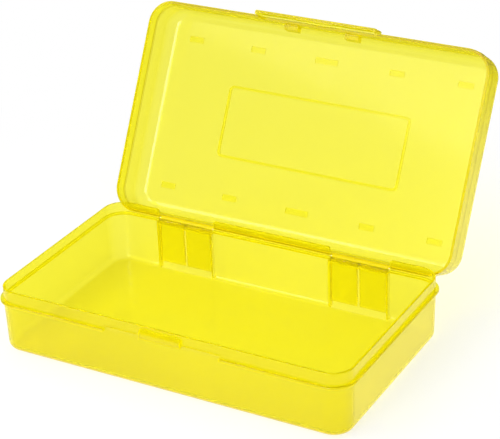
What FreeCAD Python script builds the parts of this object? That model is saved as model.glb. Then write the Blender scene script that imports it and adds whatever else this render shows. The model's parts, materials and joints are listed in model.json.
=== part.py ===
import FreeCAD, Part
import math
import os

# A pencil box moulded in clear coloured plastic: a tray with a collar above its ledge, and a deep
# lid whose skirt drops over the collar. Two flat straps, clipped through the tray's back ledge and
# hanging in recesses of its back wall, carry the lid on thin flexible webs. The lid stands open,
# as far back as its straps let it go. Millimetres, X along the box, Y from front to back, Z up.
# The origin is on the surface that the tray stands on, under its middle.

# Overall sizes of the closed box
overall_length = 210.0
overall_width = 123.0
ledge_height = 30.0
collar_height = 6.8
lid_depth = 24.2
corner_radius = 13.8

# Walls
tray_wall = 1.3
floor_thickness = 1.5
collar_wall = 1.2
rim_wall = 1.5
lid_wall = 1.2
hood_wall = 1.5

# Clearances
collar_clearance = 0.8
rim_gap = 0.6
strap_clearance = 0.15
nib_clearance = 0.15
web_gap = 0.05

# Tray
tray_taper = 0.7
collar_lean = 0.2
foot_radius = 4.0
collar_end_round = 1.6
ledge_reach = 1.7
ledge_thickness = 1.5
ledge_round = 0.5
edge_round = 0.4

# Latch: a catch on the tray's front and a hood on the lid's front skirt that drops over it
latch_zone_length = 68.0
catch_length = 24.0
catch_reach = 2.0
catch_bottom_lift = 0.3
catch_height = 4.9
catch_slope = 1.5
band_reach = 0.45
band_lift = 1.8
band_height = 0.4
band_fade = 4.5
hood_length = 74.6
hood_reach = 2.4
hood_drop = 2.1
hood_headroom = 0.5
hood_draft = 0.3
hood_round = 1.1
nib_length = 22.0
nib_height = 1.1
nib_slope = 0.5

# Lid
rim_height = 6.9
rim_step = 0.6
rim_step_round = 0.15
lid_taper = 0.4
lid_round = 7.0
frame_length = 113.0
frame_width = 40.5
frame_radius = 2.6
frame_line = 1.6
frame_rise = 1.0
frame_slope = 0.2
lug_pitch_inner = 43.7
lug_pitch_outer = 84.7
lug_row = 43.4
lug_length = 9.3
middle_lug_length = 14.4
lug_width = 3.6
lug_rise = 0.8
lug_corner = 0.5
lug_taper = 0.25
pad_offset = 18.8
pad_length = 8.3
pad_reach_low = 3.3
pad_reach_high = 4.2
pad_lift = 9.0
pad_height = 5.0

# Hinge: two straps, each with a head, two prongs and a web
hinge_offset = 54.5
recess_length = 36.0
recess_depth = 3.6
recess_draft = 0.3
slot_bridge = 1.4
slot_margin = 1.6
prong_thickness = 1.4
prong_length = 25.0
prong_lead = 0.6
barb_length = 6.0
barb_reach = 0.55
barb_height = 3.2
head_end_gap = 0.8
head_setback = 1.05
head_thickness = 1.3
head_round = 0.3
web_thickness = 0.4
web_lift = 0.6
web_inset = 0.1
web_grip = 0.7
web_arch = 0.35
axis_in = 0.9
axis_lift = 0.85
open_angle = 117.9

# Places worked out from the sizes above
rim_x = overall_length / 2
rim_y = overall_width / 2
rim_z = ledge_height + rim_gap
lid_top = rim_z + lid_depth
skirt_inset = rim_wall + collar_clearance
tray_x = rim_x - skirt_inset
tray_y = rim_y - skirt_inset
tray_radius = corner_radius - skirt_inset
tray_top = ledge_height + collar_height
ledge_x = tray_x + ledge_reach
ledge_y = tray_y + ledge_reach
ledge_bottom = ledge_height - ledge_thickness
axis_y = rim_y - axis_in
axis_z = rim_z + axis_lift
recess_y = tray_y - recess_depth
head_front = recess_y + strap_clearance
head_back = tray_y - head_setback
slot_y_low = (head_front + head_back - prong_thickness) / 2 - strap_clearance
slot_y_high = slot_y_low + prong_thickness + 2 * strap_clearance
slot_length = recess_length / 2 - slot_bridge / 2 - slot_margin
catch_bottom = ledge_height + catch_bottom_lift
catch_top = catch_bottom + catch_height


def rounded_outline(half_x, half_y, radius, z):
    """A closed wire: a rectangle about the Z axis with round corners, at height z."""
    edges = []
    diagonal = radius * math.sqrt(0.5)
    for quarter in range(4):
        sign_x = (1, -1, -1, 1)[quarter]
        sign_y = (1, 1, -1, -1)[quarter]
        centre = FreeCAD.Vector(sign_x * (half_x - radius), sign_y * (half_y - radius), z)
        on_side = centre + FreeCAD.Vector(sign_x * radius, 0, 0)
        on_end = centre + FreeCAD.Vector(0, sign_y * radius, 0)
        middle = centre + FreeCAD.Vector(sign_x * diagonal, sign_y * diagonal, 0)
        first, last = (on_side, on_end) if quarter % 2 == 0 else (on_end, on_side)
        edges.append(Part.Arc(first, middle, last).toShape())
    sides = []
    for quarter in range(4):
        end = edges[quarter].valueAt(edges[quarter].LastParameter)
        start = edges[(quarter + 1) % 4].valueAt(edges[(quarter + 1) % 4].FirstParameter)
        sides.append(Part.LineSegment(end, start).toShape())
    return Part.Wire([edge for pair in zip(edges, sides) for edge in pair])


def tapered_block(sections):
    """A solid through rounded outlines, each given as (half_x, half_y, radius, z)."""
    return Part.makeLoft([rounded_outline(*section) for section in sections], True, True)


def box_between(low, high):
    """A box from its lowest to its highest corner."""
    size = [high[i] - low[i] for i in range(3)]
    return Part.makeBox(*size, FreeCAD.Vector(*low))


def side_profile(points, x_low, x_high):
    """A straight-edged outline in Y and Z, drawn out along X."""
    corners = [FreeCAD.Vector(x_low, y, z) for y, z in points]
    face = Part.Face(Part.makePolygon(corners + corners[:1]))
    return face.extrude(FreeCAD.Vector(x_high - x_low, 0, 0))


def flat_edges(shape, z):
    """The edges of a shape that lie at height z."""
    return [e for e in shape.Edges if abs(e.BoundBox.ZMin - z) < 1e-4 and abs(e.BoundBox.ZMax - z) < 1e-4]


def upright_edges(shape, length):
    """The straight edges of a shape that stand within a few degrees of Z and are at least that long."""
    return [e for e in shape.Edges if e.BoundBox.ZLength >= length and e.Length < 1.02 * e.BoundBox.ZLength]


def tray_body():
    """The drafted tray with its floor, round foot and collar, before the ledge and the hinge recesses."""
    outside = tapered_block([
        (tray_x - tray_taper, tray_y - tray_taper, tray_radius - tray_taper, 0),
        (tray_x, tray_y, tray_radius, ledge_height),
        (tray_x - collar_lean, tray_y - collar_lean, tray_radius - collar_lean, tray_top),
    ])
    outside = outside.makeFillet(foot_radius, flat_edges(outside, 0))
    outside = outside.makeFillet(edge_round, flat_edges(outside, tray_top))
    low = tray_wall + tray_taper
    high = collar_wall + collar_lean
    inside = tapered_block([
        (tray_x - low, tray_y - low, tray_radius - low, floor_thickness),
        (tray_x - tray_wall, tray_y - tray_wall, tray_radius - tray_wall, ledge_height),
        (tray_x - high, tray_y - high, tray_radius - high, tray_top + 1),
    ])
    inside = inside.makeFillet(foot_radius - tray_wall, flat_edges(inside, floor_thickness))
    return outside.cut(inside)


def ledge():
    """The flange round the tray that the lid's rim closes on, left out where the latch works."""
    radius = tray_radius + ledge_reach
    plate = tapered_block([
        (ledge_x, ledge_y, radius, ledge_bottom),
        (ledge_x, ledge_y, radius, ledge_height),
    ])
    plate = plate.makeFillet(ledge_round, flat_edges(plate, ledge_bottom) + flat_edges(plate, ledge_height))
    inset = tray_wall / 2
    hole = tapered_block([
        (tray_x - inset, tray_y - inset, tray_radius - inset, ledge_bottom - 1),
        (tray_x - inset, tray_y - inset, tray_radius - inset, ledge_height + 1),
    ])
    latch_zone = box_between(
        (-latch_zone_length / 2, -rim_y, ledge_bottom - 1),
        (latch_zone_length / 2, -tray_y + inset, ledge_height + 1))
    return plate.cut(hole).cut(latch_zone)


def latch_catch():
    """The catch block on the collar's front, on a band that fades into the wall below."""
    half_zone = latch_zone_length / 2
    band_top = ledge_height + band_lift
    band = side_profile([
        (-tray_y + collar_wall / 2, band_top),
        (-tray_y - band_reach, band_top),
        (-tray_y - band_reach, band_top - band_height),
        (-tray_y + collar_wall / 2, band_top - band_fade),
    ], -half_zone, half_zone)
    block = side_profile([
        (-tray_y + collar_wall / 2, catch_bottom),
        (-tray_y - catch_reach, catch_bottom),
        (-tray_y - catch_reach, catch_top - catch_slope),
        (-tray_y - catch_reach / 2, catch_top),
        (-tray_y + collar_wall / 2, catch_top),
    ], -catch_length / 2, catch_length / 2)
    return band.fuse(block)


def collar_gap(centre):
    """The opening cut through the collar's back for one hinge, with the collar's ends rounded at the top."""
    left = centre - recess_length / 2
    right = centre + recess_length / 2
    y = tray_y - tray_wall - recess_depth
    far_left = left - collar_end_round
    far_right = right + collar_end_round
    turn = collar_end_round * (1 - math.sqrt(0.5))

    def at(x, z):
        return FreeCAD.Vector(x, y, z)

    corner = tray_top - collar_end_round
    wire = Part.Wire([
        Part.LineSegment(at(left, ledge_height), at(left, corner)).toShape(),
        Part.Arc(at(left, corner), at(left - turn, tray_top - turn), at(far_left, tray_top)).toShape(),
        Part.LineSegment(at(far_left, tray_top), at(far_left, tray_top + 1)).toShape(),
        Part.LineSegment(at(far_left, tray_top + 1), at(far_right, tray_top + 1)).toShape(),
        Part.LineSegment(at(far_right, tray_top + 1), at(far_right, tray_top)).toShape(),
        Part.Arc(at(far_right, tray_top), at(right + turn, tray_top - turn), at(right, corner)).toShape(),
        Part.LineSegment(at(right, corner), at(right, ledge_height)).toShape(),
        Part.LineSegment(at(right, ledge_height), at(left, ledge_height)).toShape(),
    ])
    return Part.Face(wire).extrude(FreeCAD.Vector(0, recess_depth + 2 * tray_wall + ledge_reach, 0))


def hinge_recess(centre):
    """For one hinge: the pocket wall that stands into the tray, and the space behind it, as two solids."""
    half = recess_length / 2
    wall_block = box_between(
        (centre - half, recess_y - tray_wall, floor_thickness / 2),
        (centre + half, tray_y - tray_wall / 2, ledge_height))
    inner = [e for e in upright_edges(wall_block, ledge_height / 2) if e.BoundBox.YMax < recess_y]
    wall_block = wall_block.makeFillet(tray_wall - 0.1, inner)

    def ring(spread, z):
        left = centre - half + tray_wall - spread
        right = centre + half - tray_wall + spread
        front = recess_y - spread
        corners = [(left, front), (right, front), (right, rim_y), (left, rim_y), (left, front)]
        return Part.makePolygon([FreeCAD.Vector(x, y, z) for x, y in corners])

    space = Part.makeLoft([ring(recess_draft, -1), ring(0, ledge_bottom)], True, True)
    return wall_block, space


def slots(centre):
    """The two slots through the ledge that a strap's prongs go down."""
    made = []
    for side in (-1, 1):
        near = centre + side * slot_bridge / 2
        far = near + side * slot_length
        made.append(box_between(
            (min(near, far), slot_y_low, ledge_bottom - 1),
            (max(near, far), slot_y_high, ledge_height + 1)))
    return made


def make_tray():
    """The whole tray."""
    tray = tray_body().fuse([ledge(), latch_catch()])
    for side in (-1, 1):
        centre = side * hinge_offset
        wall_block, space = hinge_recess(centre)
        tray = tray.fuse(wall_block)
        tray = tray.cut(collar_gap(centre))
        tray = tray.cut(space)
        for slot in slots(centre):
            tray = tray.cut(slot)
    return tray.removeSplitter()


def make_strap(centre):
    """One hinge strap: a head that lies on the ledge and two prongs with barbs that catch under it."""
    half = recess_length / 2 - head_end_gap
    head_top = ledge_height + head_thickness
    strap = box_between((centre - half, head_front, ledge_height), (centre + half, head_back, head_top))
    strap = strap.makeFillet(head_round, flat_edges(strap, head_top))
    y_low = slot_y_low + strap_clearance
    y_high = slot_y_high - strap_clearance
    tip = ledge_height - prong_length
    barb_top = ledge_bottom - strap_clearance
    for side in (-1, 1):
        near = centre + side * (slot_bridge / 2 + strap_clearance)
        far = near + side * (slot_length - 2 * strap_clearance)
        x_low = min(near, far)
        x_high = max(near, far)
        prong = side_profile([
            (y_low, ledge_height + head_thickness / 2),
            (y_high, ledge_height + head_thickness / 2),
            (y_high, tip + 2 * prong_lead),
            (y_high - prong_lead, tip),
            (y_low, tip),
        ], x_low, x_high)
        middle = (x_low + x_high) / 2
        barb = side_profile([
            (y_high - prong_thickness / 2, barb_top),
            (y_high + barb_reach, barb_top),
            (y_high, barb_top - barb_height),
            (y_high - prong_thickness / 2, barb_top - barb_height),
        ], middle - barb_length / 2, middle + barb_length / 2)
        strap = strap.fuse([prong, barb])
    return strap.removeSplitter()


def lid_shell():
    """The lid as it lies closed: a rim band, a drafted skirt and a panel with a large round edge."""
    band = tapered_block([
        (rim_x, rim_y, corner_radius, rim_z),
        (rim_x, rim_y, corner_radius, rim_z + rim_height),
    ])
    band = band.makeFillet(rim_step_round, flat_edges(band, rim_z + rim_height))
    taper = rim_step + lid_taper
    body = tapered_block([
        (rim_x - rim_step, rim_y - rim_step, corner_radius - rim_step, rim_z),
        (rim_x - taper, rim_y - taper, corner_radius - taper, lid_top),
    ])
    body = body.makeFillet(lid_round, flat_edges(body, lid_top))
    inner_top = lid_top - lid_wall
    inset = taper + lid_wall
    cavity = tapered_block([
        (rim_x - rim_wall, rim_y - rim_wall, corner_radius - rim_wall, rim_z - 1),
        (rim_x - inset, rim_y - inset, corner_radius - inset, inner_top),
    ])
    cavity = cavity.makeFillet(lid_round - lid_wall, flat_edges(cavity, inner_top))
    return band.fuse(body), cavity


def latch_hood():
    """The hood on the lid's front skirt, the space inside it, and the nib that closes under the catch."""
    half = hood_length / 2
    low = rim_z - hood_drop
    shelf = catch_top + hood_headroom
    high = shelf + lid_wall
    front = -rim_y - hood_reach
    hood = side_profile([
        (-rim_y + rim_wall / 2, high),
        (front + hood_draft, high),
        (front, low),
        (-rim_y - 0.1, low),
        (-rim_y - 0.1, rim_z),
        (-rim_y + rim_wall / 2, rim_z),
    ], -half, half)
    outer = [e for e in hood.Edges if e.BoundBox.YMax < front + hood_draft + 1e-4]
    round_ones = [e for e in outer if e.BoundBox.ZMin > low + 1e-4 or e.BoundBox.ZLength > 1]
    hood = hood.makeFillet(hood_round, round_ones)
    space = side_profile([
        (-rim_y + 2 * rim_wall, shelf),
        (front + hood_wall + hood_draft, shelf),
        (front + hood_wall, low - 1),
        (-rim_y + 2 * rim_wall, low - 1),
    ], -half + hood_wall, half - hood_wall)
    nib_tip = -tray_y - catch_reach - nib_clearance
    nib = side_profile([
        (front + hood_wall / 2, low),
        (nib_tip - nib_slope, low),
        (nib_tip, low + nib_slope),
        (nib_tip, low + nib_height),
        (front + hood_wall / 2, low + nib_height + nib_slope),
    ], -nib_length / 2, nib_length / 2)
    return hood, space, nib


def panel_lugs():
    """Ten low lugs in two rows on the outside of the panel, the middle one of each row longer."""
    made = []
    places = [-lug_pitch_outer, -lug_pitch_inner, 0, lug_pitch_inner, lug_pitch_outer]
    for row in (-1, 1):
        for x in places:
            half_x = (middle_lug_length if x == 0 else lug_length) / 2
            lug = tapered_block([
                (half_x, lug_width / 2, lug_corner, lid_top - lid_wall / 2),
                (half_x - lug_taper, lug_width / 2 - lug_taper, lug_corner - lug_taper, lid_top + lug_rise),
            ])
            lug.translate(FreeCAD.Vector(x, row * lug_row, 0))
            made.append(lug)
    return made


def panel_frame():
    """The thin raised line on the panel, a rectangle with round corners."""
    def section(spread, z):
        return (frame_length / 2 + spread, frame_width / 2 + spread, frame_radius + spread, z)

    low = lid_top - lid_wall / 2
    high = lid_top + frame_rise
    half = frame_line / 2
    outer = tapered_block([section(half, low), section(half - frame_slope, high)])
    inner = tapered_block([section(-half, low), section(-half + frame_slope, high)])
    return outer.cut(inner)


def skirt_pads():
    """Two small tapered pads inside the lid's front skirt, over the collar."""
    made = []
    low = rim_z + pad_lift
    wall = -rim_y + rim_wall
    for side in (-1, 1):
        centre = side * pad_offset
        made.append(side_profile([
            (wall - lid_wall / 2, low),
            (wall + pad_reach_low, low),
            (wall + pad_reach_high, low + pad_height),
            (wall - lid_wall / 2, low + pad_height),
        ], centre - pad_length / 2, centre + pad_length / 2))
    return made


def opened(shape):
    """A piece of the closed lid, turned back about the hinge axis to where the lid stands open."""
    turned = shape.copy()
    turned.rotate(FreeCAD.Vector(0, axis_y, axis_z), FreeCAD.Vector(1, 0, 0), -open_angle)
    return turned


def make_lid():
    """The whole lid, standing open."""
    outside, cavity = lid_shell()
    hood, space, nib = latch_hood()
    lid = outside.fuse([hood] + panel_lugs() + [panel_frame()])
    lid = lid.cut(cavity).cut(space)
    lid = lid.fuse([nib] + skirt_pads())
    return opened(lid.removeSplitter())


def opened_point(y, z):
    """Where a point of the closed lid, in Y and Z, lies when the lid stands open."""
    turn = math.radians(open_angle)
    out = y - axis_y
    up = z - axis_z
    return (axis_y + out * math.cos(turn) + up * math.sin(turn),
            axis_z - out * math.sin(turn) + up * math.cos(turn))


def make_web(centre):
    """The thin flexible web from the back of a strap's head to the open lid's rim: a flat arch."""
    half = recess_length / 2 - head_end_gap - head_round
    x = centre - half
    start_z = ledge_height + web_lift
    far_closed = rim_y - rim_wall + web_inset
    near_y, near_z = opened_point(far_closed + web_grip, rim_z - web_gap)
    far_y, far_z = opened_point(far_closed, rim_z - web_gap)
    lower_start = FreeCAD.Vector(x, head_back, start_z)
    upper_start = FreeCAD.Vector(x, head_back, start_z + web_thickness)
    lower_end = FreeCAD.Vector(x, near_y, near_z)
    upper_end = FreeCAD.Vector(x, far_y, far_z)
    rise = FreeCAD.Vector(0, -web_arch / 2, web_arch)
    lower = Part.Arc(lower_start, (lower_start + lower_end) * 0.5 + rise, lower_end)
    upper = Part.Arc(upper_end, (upper_start + upper_end) * 0.5 + rise, upper_start)
    wire = Part.Wire([
        lower.toShape(),
        Part.LineSegment(lower_end, upper_end).toShape(),
        upper.toShape(),
        Part.LineSegment(upper_start, lower_start).toShape(),
    ])
    return Part.Face(wire).extrude(FreeCAD.Vector(2 * half, 0, 0))


def write_nodes():
    """One file for each piece."""
    nodes = {"tray": make_tray(), "lid": make_lid()}
    for name, side in (("left", -1), ("right", 1)):
        nodes["hinge_strap_" + name] = make_strap(side * hinge_offset)
        nodes["hinge_web_" + name] = make_web(side * hinge_offset)
    os.makedirs("parts", exist_ok=True)
    for name, shape in nodes.items():
        shape.exportStep(os.path.join("parts", name + ".step"))


write_nodes()
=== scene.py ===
import json
import math

import bpy
from mathutils import Matrix, Vector


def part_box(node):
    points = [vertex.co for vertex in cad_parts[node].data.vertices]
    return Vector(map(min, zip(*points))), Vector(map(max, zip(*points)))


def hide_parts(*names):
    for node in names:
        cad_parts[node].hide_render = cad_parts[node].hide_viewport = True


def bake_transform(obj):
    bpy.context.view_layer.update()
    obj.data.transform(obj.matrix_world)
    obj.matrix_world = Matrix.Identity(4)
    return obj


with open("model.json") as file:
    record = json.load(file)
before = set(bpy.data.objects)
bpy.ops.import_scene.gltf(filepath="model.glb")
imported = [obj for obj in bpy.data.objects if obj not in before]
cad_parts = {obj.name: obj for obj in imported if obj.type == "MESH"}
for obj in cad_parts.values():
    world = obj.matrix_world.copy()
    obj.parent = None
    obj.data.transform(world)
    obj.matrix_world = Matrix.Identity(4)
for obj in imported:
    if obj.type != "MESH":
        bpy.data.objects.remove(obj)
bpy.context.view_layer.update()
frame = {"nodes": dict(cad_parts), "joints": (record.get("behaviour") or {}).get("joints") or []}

MM = 0.001
HINGE = Vector(frame["joints"][0]["pos_m"])
OPEN_ANGLE = math.radians(frame["joints"][0]["range_deg"][1])


# Nodes

class Wire:
    """One output of a node, so that sums on it read as sums."""

    def __init__(self, sheet, socket):
        self.sheet = sheet
        self.socket = socket

    def _math(self, operation, first, second=None):
        values = [first] if second is None else [first, second]
        node = self.sheet.node("ShaderNodeMath", {"operation": operation}, dict(enumerate(values)))
        return Wire(self.sheet, node.outputs[0])

    def __add__(self, other):
        return self._math("ADD", self, other)

    def __radd__(self, other):
        return self._math("ADD", other, self)

    def __sub__(self, other):
        return self._math("SUBTRACT", self, other)

    def __rsub__(self, other):
        return self._math("SUBTRACT", other, self)

    def __mul__(self, other):
        return self._math("MULTIPLY", self, other)

    def __rmul__(self, other):
        return self._math("MULTIPLY", other, self)

    def __pow__(self, other):
        return self._math("POWER", self, other)

    def __abs__(self):
        return self._math("ABSOLUTE", self)

    def above(self, edge):
        """1 where this is over edge, else 0."""
        return self._math("GREATER_THAN", self, edge)

    def least(self, other):
        return self._math("MINIMUM", self, other)

    def most(self, other):
        return self._math("MAXIMUM", self, other)

    def ramp(self, low, high, new_low=0.0, new_high=1.0):
        """This value's stretch from low to high, carried smoothly to new_low and new_high."""
        return self.sheet.wire(
            "ShaderNodeMapRange", "Result", {"interpolation_type": "SMOOTHSTEP"},
            {"Value": self, "From Min": low, "From Max": high, "To Min": new_low, "To Max": new_high})


class Sheet:
    """The nodes of one material, or of the world."""

    # A colour mix node has a set of sockets for each kind of data, told apart only by their places
    MIX_SHARE, MIX_FIRST_COLOUR, MIX_SECOND_COLOUR = 0, 6, 7
    MIX_COLOUR_RESULT = 2

    def __init__(self, tree, output):
        self.tree = tree
        self.tree.nodes.clear()
        self.output = self.tree.nodes.new(output)

    def node(self, kind, settings=None, inputs=None):
        """A node of that kind: its settings are set first, then its inputs, by name or place, to values or links."""
        made = self.tree.nodes.new(kind)
        for key, value in (settings or {}).items():
            setattr(made, key, value)
        for key, value in (inputs or {}).items():
            socket = made.inputs[key]
            if isinstance(value, Wire):
                value = value.socket
            if isinstance(value, bpy.types.NodeSocket):
                self.tree.links.new(value, socket)
            else:
                socket.default_value = value
        return made

    def wire(self, kind, output, settings=None, inputs=None):
        """The named output of a new node."""
        return Wire(self, self.node(kind, settings, inputs).outputs[output])

    def shader(self, kind, inputs):
        """The output of a new shader node."""
        return self.node(kind, None, inputs).outputs[0]

    def point(self):
        """The point on the object, in metres."""
        return self.wire("ShaderNodeTexCoord", "Object")

    def noise(self, point, cells, detail=2.0, roughness=0.5, distortion=0.0):
        """A smooth random value from 0 to 1, with that many cells to the metre."""
        return self.wire(
            "ShaderNodeTexNoise", "Fac", None,
            {"Vector": point, "Scale": cells, "Detail": detail, "Roughness": roughness,
             "Distortion": distortion})

    def mix(self, share, first, second):
        """Two colours mixed: share is the second one's."""
        return self.wire(
            "ShaderNodeMix", self.MIX_COLOUR_RESULT, {"data_type": "RGBA"},
            {self.MIX_SHARE: share, self.MIX_FIRST_COLOUR: first, self.MIX_SECOND_COLOUR: second})

    def shader_mix(self, share, first, second):
        """Two shaders mixed: share is the second one's."""
        return self.shader("ShaderNodeMixShader", {0: share, 1: first, 2: second})

    def show(self, surface, volume=None):
        self.tree.links.new(surface, self.output.inputs["Surface"])
        if volume is not None:
            self.tree.links.new(volume, self.output.inputs["Volume"])


def new_finish(name):
    """A material and the sheet of its nodes."""
    material = bpy.data.materials.new(name)
    material.use_nodes = True
    return material, Sheet(material.node_tree, "ShaderNodeOutputMaterial")


# Plastic: lower in index than the real one, which keeps its edges as light as the photograph's

PLASTIC_IOR = 1.30
DYE = (0.9955, 0.9845, 0.0, 1.0)
DYE_DENSITY = 1200.0

COAT_WEIGHT = 0.28
COAT_ROUGHNESS = 0.14
COAT_IOR = 1.49
ROUGHNESS_LEAST = 0.05
ROUGHNESS_MOST = 0.09

# Moulding waves, fine grain and clouds of dye, in cells to the metre
WAVE_CELLS = 28.0
GRAIN_CELLS = 900.0
GRAIN_HEIGHT = 0.0016 * MM
CLOUD_CELLS = 60.0
CLOUD_LOW = 0.3
CLOUD_HIGH = 0.7
CLEAR_TINTS = ((1.0, 0.98, 0.54, 1.0), (0.99, 0.97, 0.49, 1.0))
MILK_TINTS = ((0.98, 0.915, 0.04, 1.0), (0.97, 0.90, 0.03, 1.0))

# Milk: more of it where the wall is seen edge on, and where light trapped inside the wall leaks out
MILK_THROWN_BACK = 0.25
MILK_EDGE_ON = 0.6
MILK_LEAK = 1.5
MILK_MOST = 0.95

# What is left of a lamp's light after one face, met squarely and edge on
LAMP_ACROSS = (0.86, 0.857, 0.82, 1.0)
LAMP_ALONG = (0.10, 0.09, 0.04, 1.0)

# Painted shade: a dark line tinted into the lid's colour on the shoulder at the end of its rim band, measured from
# the rim of the open lid
RIM_BAND = 6.9 * MM
RIM_BELOW_AXIS = 0.85 * MM
SHOULDER_INSET = 0.07 * MM
SHOULDER_HALF = 0.22 * MM
SHOULDER_PAINTED_SHADE = (0.40, 0.31, 0.03, 1.0)


def shoulder_painted_shade_mask(sheet, point):
    """1 on the small shoulder where the lid's rim band ends: the mask of a thin line of painted shade."""
    parts = sheet.node("ShaderNodeSeparateXYZ", None, {"Vector": point})
    y = Wire(sheet, parts.outputs["Y"])
    z = Wire(sheet, parts.outputs["Z"])
    above_axis = (y - HINGE.y) * math.sin(OPEN_ANGLE) + (z - HINGE.z) * math.cos(OPEN_ANGLE)
    above_rim = above_axis + RIM_BELOW_AXIS
    return 1 - abs(above_rim - (RIM_BAND - SHOULDER_INSET)).above(SHOULDER_HALF)


def clear_plastic(name, haze, wave_height, paint_shoulder_shade=False):
    """Translucent yellow polypropylene: dyed all through, slightly milky, with a soft moulded gloss."""
    material, sheet = new_finish(name)
    point = sheet.point()
    waves = sheet.noise(point, WAVE_CELLS, roughness=0.45)
    grain = sheet.noise(point, GRAIN_CELLS, roughness=0.6)
    cloud = sheet.noise(point, CLOUD_CELLS, detail=3.0, roughness=0.55, distortion=0.3)
    bump = sheet.wire(
        "ShaderNodeBump", "Normal", None,
        {"Strength": 1.0, "Distance": 1.0, "Height": waves * wave_height + grain * GRAIN_HEIGHT})
    tint_with_painted_shade = sheet.mix(cloud, *CLEAR_TINTS)
    if paint_shoulder_shade:
        # Painted shade: a dark line tinted into the base colour at the rim band's shoulder
        tint_with_painted_shade = sheet.mix(shoulder_painted_shade_mask(sheet, point), tint_with_painted_shade, SHOULDER_PAINTED_SHADE)
    clear = sheet.shader("ShaderNodeBsdfPrincipled", {
        "Base Color": tint_with_painted_shade, "Roughness": cloud.ramp(CLOUD_LOW, CLOUD_HIGH, ROUGHNESS_LEAST, ROUGHNESS_MOST),
        "IOR": PLASTIC_IOR, "Transmission Weight": 1.0, "Coat Weight": COAT_WEIGHT,
        "Coat Roughness": COAT_ROUGHNESS, "Coat IOR": COAT_IOR, "Normal": bump})

    milk_inputs = {"Color": sheet.mix(cloud, *MILK_TINTS), "Normal": bump}
    milk = sheet.shader_mix(
        MILK_THROWN_BACK,
        sheet.shader("ShaderNodeBsdfTranslucent", milk_inputs),
        sheet.shader("ShaderNodeBsdfDiffuse", milk_inputs))
    steep = sheet.wire("ShaderNodeLayerWeight", "Facing", None, {"Blend": 0.5})
    from_inside = sheet.wire("ShaderNodeNewGeometry", "Backfacing")
    milk_share = (haze + steep ** 4 * MILK_EDGE_ON + from_inside * steep ** 2 * MILK_LEAK).least(MILK_MOST)
    surface = sheet.shader_mix(milk_share, clear, milk)

    passing = sheet.shader_mix(
        steep ** 2,
        sheet.shader("ShaderNodeBsdfTransparent", {"Color": LAMP_ACROSS}),
        sheet.shader("ShaderNodeBsdfTransparent", {"Color": LAMP_ALONG}))
    surface = sheet.shader_mix(sheet.wire("ShaderNodeLightPath", "Is Shadow Ray"), surface, passing)
    dyed = sheet.shader("ShaderNodeVolumeAbsorption", {"Color": DYE, "Density": DYE_DENSITY})
    sheet.show(surface, dyed)
    return material


# Floor: white for the camera, more so far from the box. Through the plastic it is a little dimmer, and in
# reflections it dims with distance, as the photograph has few white reflections on the plastic.

WHITE = (1.0, 1.0, 1.0, 1.0)
PAPER = (0.94, 0.94, 0.94, 1.0)
FLOOR_SIZE = 14.0
FLOOR_HEIGHT = -0.3 * MM
FLOOR_WHITE = 0.60
FLOOR_ALL_WHITE = 1.0
FLOOR_WHITE_FROM = 0.14
FLOOR_WHITE_TO = 0.36
SEEN_THROUGH_WHITE = 0.60
SEEN_THROUGH_LOSS = 0.03
FLOOR_GLOSS_NEAR = 1.0
FLOOR_GLOSS_FAR = 0.12
FLOOR_GLOSS_FROM = 0.22
FLOOR_GLOSS_TO = 0.50


def floor_finish():
    """A white sweep: it shows as white wherever nothing shades it, and keeps the object's soft shadow."""
    material, sheet = new_finish("pale_floor")
    rays = sheet.node("ShaderNodeLightPath")
    straight = Wire(sheet, rays.outputs["Is Camera Ray"])
    through = Wire(sheet, rays.outputs["Is Transmission Ray"])
    mirrored = Wire(sheet, rays.outputs["Is Glossy Ray"])
    paper = sheet.shader("ShaderNodeBsdfDiffuse", {"Color": PAPER})
    white = sheet.shader("ShaderNodeEmission", {"Color": WHITE, "Strength": 1.0})
    unlit = sheet.shader("ShaderNodeEmission", {"Color": WHITE, "Strength": 0.0})
    away = sheet.wire("ShaderNodeVectorMath", "Value", {"operation": "LENGTH"}, {0: sheet.point()})
    seen_white = straight * away.ramp(FLOOR_WHITE_FROM, FLOOR_WHITE_TO, FLOOR_WHITE, FLOOR_ALL_WHITE)
    lit = sheet.shader_mix(seen_white.most(through * SEEN_THROUGH_WHITE), paper, white)
    lit = sheet.shader_mix(through * SEEN_THROUGH_LOSS, lit, unlit)
    gloss_level = away.ramp(FLOOR_GLOSS_FROM, FLOOR_GLOSS_TO, FLOOR_GLOSS_NEAR, FLOOR_GLOSS_FAR)
    reflected = sheet.shader_mix(gloss_level, unlit, white)
    sheet.show(sheet.shader_mix(mirrored * (1 - through), lit, reflected))
    return material


# Pieces

def put_in_scene(name, data):
    made = bpy.data.objects.new(name, data)
    bpy.context.scene.collection.objects.link(made)
    return made


def finish_piece(piece, material):
    piece.data.materials.clear()
    piece.data.materials.append(material)


WEB_THICKNESS = 0.45 * MM
WEB_ARCH = 0.35 * MM
WEB_STEPS = 16
RIM_INSET = 0.16 * MM
RIM_DROP = 0.30 * MM


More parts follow.
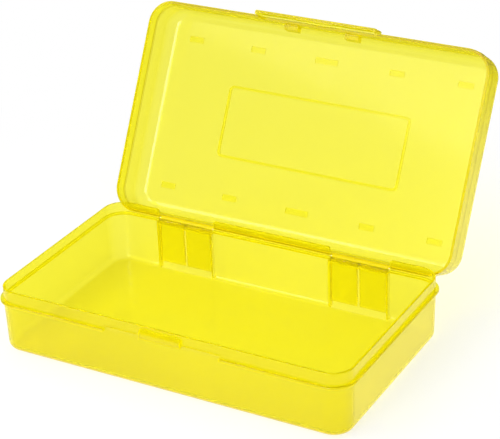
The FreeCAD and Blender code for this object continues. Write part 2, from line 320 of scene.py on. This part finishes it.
def film_tree(material):
    """Geometry nodes for a hinge web: a flat strip swept along an arch from the strap's head to the lid's rim."""
    tree = bpy.data.node_groups.new("hinge_film", "GeometryNodeTree")
    for name, kind in (("Start", "NodeSocketVector"), ("Middle", "NodeSocketVector"), ("End", "NodeSocketVector"),
                       ("Width", "NodeSocketFloat"), ("Thickness", "NodeSocketFloat"), ("Steps", "NodeSocketInt")):
        tree.interface.new_socket(name, in_out="INPUT", socket_type=kind)
    tree.interface.new_socket("Geometry", in_out="OUTPUT", socket_type="NodeSocketGeometry")
    nodes = tree.nodes
    entry = nodes.new("NodeGroupInput")
    arch = nodes.new("GeometryNodeCurveQuadraticBezier")
    profile = nodes.new("GeometryNodeCurvePrimitiveQuadrilateral")
    sweep = nodes.new("GeometryNodeCurveToMesh")
    flat = nodes.new("GeometryNodeSetShadeSmooth")
    real = nodes.new("GeometryNodeRealizeInstances")
    finish = nodes.new("GeometryNodeSetMaterial")
    leave = nodes.new("NodeGroupOutput")
    for socket, target in (("Start", arch.inputs["Start"]), ("Middle", arch.inputs["Middle"]),
                           ("End", arch.inputs["End"]), ("Steps", arch.inputs["Resolution"]),
                           ("Thickness", profile.inputs["Height"]), ("Width", profile.inputs["Width"])):
        tree.links.new(entry.outputs[socket], target)
    sweep.inputs["Fill Caps"].default_value = True
    flat.inputs["Shade Smooth"].default_value = False
    finish.inputs["Material"].default_value = material
    tree.links.new(profile.outputs[0], sweep.inputs["Profile Curve"])
    chain = [arch, sweep, flat, real, finish, leave]
    for before, after in zip(chain, chain[1:]):
        tree.links.new(before.outputs[0], after.inputs[0])
    return tree


def grown(name, tree, values):
    """A plain mesh object from a geometry tree, its inputs set by their names."""
    holder = put_in_scene(name + "_maker", bpy.data.meshes.new(name + "_maker"))
    modifier = holder.modifiers.new("make", "NODES")
    modifier.node_group = tree
    for item in tree.interface.items_tree:
        if item.in_out == "INPUT" and item.name in values:
            modifier[item.identifier] = values[item.name]
    bpy.context.view_layer.update()
    evaluated = holder.evaluated_get(bpy.context.evaluated_depsgraph_get())
    data = bpy.data.meshes.new_from_object(evaluated)
    data.name = name
    bpy.data.objects.remove(holder)
    return put_in_scene(name, data)


def hinge_film(side, tree):
    """One web's film, from inside the back of the strap's head to the open lid's rim."""
    low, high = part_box("hinge_web_" + side)
    middle_x = (low.x + high.x) / 2
    start = Vector((middle_x, low.y, low.z + WEB_THICKNESS / 2))
    end = Vector((middle_x, high.y - RIM_INSET, high.z - RIM_DROP))
    along = (end - start).normalized()
    across = Vector((0, -along.z, along.y))
    piece = grown("hinge_film_" + side, tree, {
        "Start": start, "Middle": (start + end) / 2 + across * (2 * WEB_ARCH), "End": end,
        "Width": high.x - low.x, "Thickness": WEB_THICKNESS, "Steps": WEB_STEPS})
    return piece, start, end


tray_plastic = clear_plastic("clear_yellow_tray", haze=0.08, wave_height=0.06 * MM)
lid_plastic = clear_plastic("clear_yellow_lid", haze=0.08, wave_height=0.06 * MM, paint_shoulder_shade=True)
film_plastic = clear_plastic("clear_yellow_film", haze=0.80, wave_height=0.01 * MM)
strap_plastic = clear_plastic("clear_yellow_strap", haze=0.12, wave_height=0.03 * MM)
finishes = {"tray": tray_plastic, "lid": lid_plastic}
for name, node in frame["nodes"].items():
    finish_piece(node, finishes.get(name, strap_plastic))

film = film_tree(film_plastic)
for side in ("left", "right"):
    web, start, end = hinge_film(side, film)
    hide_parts("hinge_web_" + side)
    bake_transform(web)


# Stage

def plane(name, size, height):
    half = size / 2
    corners = [(-half, -half, height), (half, -half, height), (half, half, height), (-half, half, height)]
    data = bpy.data.meshes.new(name)
    data.from_pydata(corners, [], [(0, 1, 2, 3)])
    return put_in_scene(name, data)


floor = plane("floor", FLOOR_SIZE, FLOOR_HEIGHT)
finish_piece(floor, floor_finish())

LIGHT_CENTRE = Vector((0, 0.06, 0.06))


def soft_lamp(name, toward, distance, size, radiance):
    """A soft box: a rectangle seen from the object in that direction, its power worked out from its brightness."""
    data = bpy.data.lights.new(name, "AREA")
    data.shape = "RECTANGLE"
    data.size, data.size_y = size
    data.energy = radiance * math.pi * size[0] * size[1]
    lamp = put_in_scene(name, data)
    direction = Vector(toward).normalized()
    lamp.location = LIGHT_CENTRE + direction * distance
    lamp.rotation_euler = direction.to_track_quat("Z", "Y").to_euler()


soft_lamp("overhead_box", toward=(-0.1, -0.10, 1.0), distance=1.5, size=(1.3, 1.3), radiance=0.15)
soft_lamp("front_strip", toward=(-0.035, -0.90, 0.42), distance=1.3, size=(0.56, 0.55), radiance=8.2)
soft_lamp("left_box", toward=(-0.50, -0.50, 0.72), distance=1.4, size=(0.70, 0.50), radiance=4.4)
soft_lamp("upper_front_box", toward=(-0.55, -0.91, 0.86), distance=1.35, size=(0.75, 0.42), radiance=1.6)
soft_lamp("right_box", toward=(0.90, -0.10, 0.42), distance=1.3, size=(0.60, 0.50), radiance=0.4)

# The white surrounding, as the object's lighting, the camera, the plastic's far side and gloss see it
WORLD_LEVEL = 0.85
WORLD_SEEN = 1.0
WORLD_THROUGH = 0.91
WORLD_GLOSS = 0.03


def set_world():
    """An even white surrounding, which only gloss sees much dimmer."""
    world = bpy.data.worlds.new("studio")
    bpy.context.scene.world = world
    world.use_nodes = True
    sheet = Sheet(world.node_tree, "ShaderNodeOutputWorld")

    def background(strength):
        return sheet.shader("ShaderNodeBackground", {"Strength": strength})

    rays = sheet.node("ShaderNodeLightPath")
    straight = Wire(sheet, rays.outputs["Is Camera Ray"])
    through = Wire(sheet, rays.outputs["Is Transmission Ray"])
    mirrored = Wire(sheet, rays.outputs["Is Glossy Ray"])
    shown = sheet.shader_mix(mirrored, background(WORLD_LEVEL), background(WORLD_GLOSS))
    shown = sheet.shader_mix(through, shown, background(WORLD_THROUGH))
    sheet.show(sheet.shader_mix(straight, shown, background(WORLD_SEEN)))


set_world()

# The photograph's frame, in pixels, and the camera that its outlines were fitted with
PHOTO_WIDTH = 500
FOCAL_PIXELS = 1770.09
SENSOR = 36.0
NEAREST = 0.01
FARTHEST = 50.0
CAMERA_PLACE = Vector((0.421949, -0.701057, 0.48572))
CAMERA_AZIMUTH = math.radians(29.791)
CAMERA_ELEVATION = math.radians(26.846)
CAMERA_ROLL = math.radians(-2.191)


def set_camera():
    """The photograph's camera: its place, its turn and roll, and its lens."""
    ahead = Vector((
        -math.sin(CAMERA_AZIMUTH) * math.cos(CAMERA_ELEVATION),
        math.cos(CAMERA_AZIMUTH) * math.cos(CAMERA_ELEVATION),
        -math.sin(CAMERA_ELEVATION)))
    level = ahead.cross(Vector((0, 0, 1))).normalized()
    upward = level.cross(ahead)
    right = level * math.cos(CAMERA_ROLL) + upward * math.sin(CAMERA_ROLL)
    up = upward * math.cos(CAMERA_ROLL) - level * math.sin(CAMERA_ROLL)
    data = bpy.data.cameras.new("camera")
    data.sensor_fit = "HORIZONTAL"
    data.sensor_width = SENSOR
    data.lens = FOCAL_PIXELS / PHOTO_WIDTH * SENSOR
    data.clip_start = NEAREST
    data.clip_end = FARTHEST
    camera = put_in_scene("camera", data)
    turn = Matrix((right, up, -ahead)).transposed()
    camera.matrix_world = Matrix.Translation(CAMERA_PLACE) @ turn.to_4x4()
    bpy.context.scene.camera = camera


set_camera()
bpy.context.scene.view_settings.view_transform = "Standard"
